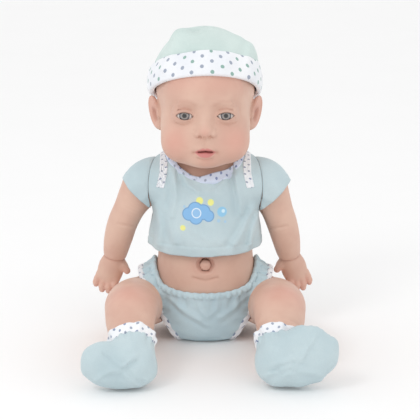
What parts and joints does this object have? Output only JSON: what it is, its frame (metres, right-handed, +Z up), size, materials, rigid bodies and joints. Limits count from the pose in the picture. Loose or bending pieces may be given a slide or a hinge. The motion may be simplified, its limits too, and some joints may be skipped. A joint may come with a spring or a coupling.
{
  "type": "interactive baby doll",
  "caption": "Seated baby doll in knitted hat, lap-shoulder shirt, briefs and booties; head, arms and legs turn, navel is a sprung push button.",
  "frame": {"origin": "centre of the seat's flat face on the floor, midway between the doll's two sides", "axes": "+Z up, -Y the way the doll faces, +X the doll's own left; the doll is in its seated pose"},
  "size_m": [0.2323, 0.2523, 0.3055],
  "materials": {
    "skin_vinyl": "soft vinyl",
    "hat_mint_knit": "knit",
    "dotted_cotton": "printed knit",
    "blue_cotton": "knit",
    "eye_acrylic": "clear coat",
    "white_plastic": "moulded",
    "black_plastic": "moulded",
    "board_green": "printed board",
    "steel": "plated",
    "battery_jacket": "printed jacket",
    "paper_cone": "pressed paper",
    "wire_red": "insulation",
    "wire_black": "insulation"
  },
  "bodies": {
    "torso": {"torso_front_shell": "skin_vinyl", "torso_back_shell": "skin_vinyl", "battery_cover": "skin_vinyl", "shirt_body": "blue_cotton", "shirt_collar": "dotted_cotton", "briefs_body": "blue_cotton", "briefs_waistband": "blue_cotton", "right_leg_binding": "dotted_cotton", "left_leg_binding": "dotted_cotton", "battery_tray": "white_plastic", "battery_1": "battery_jacket", "battery_2": "battery_jacket", "battery_3": "battery_jacket", "upper_contact_strip": "steel", "lower_contact_strip": "steel", "battery_cover_screw": "steel", "upper_right_screw": "steel", "upper_left_screw": "steel", "lower_right_screw": "steel", "lower_left_screw": "steel", "speaker_frame": "black_plastic", "speaker_cone": "paper_cone", "speaker_magnet": "steel", "circuit_board": "board_green", "sound_chip": "black_plastic", "smoothing_capacitor": "black_plastic", "contact_switch": "black_plastic", "button_spring": "steel", "power_switch_body": "black_plastic", "battery_wire": "wire_red", "speaker_wire": "wire_black", "neck_plug": "white_plastic", "neck_washer": "white_plastic", "right_shoulder_plug": "white_plastic", "left_shoulder_plug": "white_plastic", "right_hip_plug": "white_plastic", "left_hip_plug": "white_plastic"},
    "head": {"head": "skin_vinyl", "right_eye": "eye_acrylic", "left_eye": "eye_acrylic", "hat_crown": "hat_mint_knit", "hat_cuff": "dotted_cotton"},
    "right_arm": {"right_arm": "skin_vinyl", "right_sleeve": "blue_cotton"},
    "left_arm": {"left_arm": "skin_vinyl", "left_sleeve": "blue_cotton"},
    "right_leg": {"right_leg": "skin_vinyl", "right_bootie": "blue_cotton", "right_bootie_cuff": "dotted_cotton"},
    "left_leg": {"left_leg": "skin_vinyl", "left_bootie": "blue_cotton", "left_bootie_cuff": "dotted_cotton"},
    "navel_button": {"navel_button": "skin_vinyl"},
    "power_switch": {"power_switch_slider": "black_plastic"}
  },
  "joints": [
    {"name": "neck_turn", "type": "hinge", "parent": "torso", "child": "head", "pos_m": [0, 0.008, 0.182], "axis": [0, 0, 1], "range_deg": [-50, 50]},
    {"name": "right_shoulder", "type": "hinge", "parent": "torso", "child": "right_arm", "pos_m": [-0.049, 0.003, 0.1535], "axis": [-0.9659, 0.2588, 0], "range_deg": [-50, 150]},
    {"name": "left_shoulder", "type": "hinge", "parent": "torso", "child": "left_arm", "pos_m": [0.049, 0.003, 0.1535], "axis": [-0.9659, -0.2588, 0], "range_deg": [-50, 150]},
    {"name": "right_hip", "type": "hinge", "parent": "torso", "child": "right_leg", "pos_m": [-0.0505, 0.003, 0.036], "axis": [-0.866, 0, -0.5], "range_deg": [-30, 15]},
    {"name": "left_hip", "type": "hinge", "parent": "torso", "child": "left_leg", "pos_m": [0.0505, 0.003, 0.036], "axis": [-0.866, 0, 0.5], "range_deg": [-30, 15]},
    {"name": "navel_press", "type": "slide", "parent": "torso", "child": "navel_button", "axis": [0, 1, 0], "range_m": [0, 0.002], "stiffness_N_per_m": 400, "deforming": ["button_spring"]},
    {"name": "power_switch_slide", "type": "slide", "parent": "torso", "child": "power_switch", "axis": [1, 0, 0], "range_m": [0, 0.004]}
  ]
}
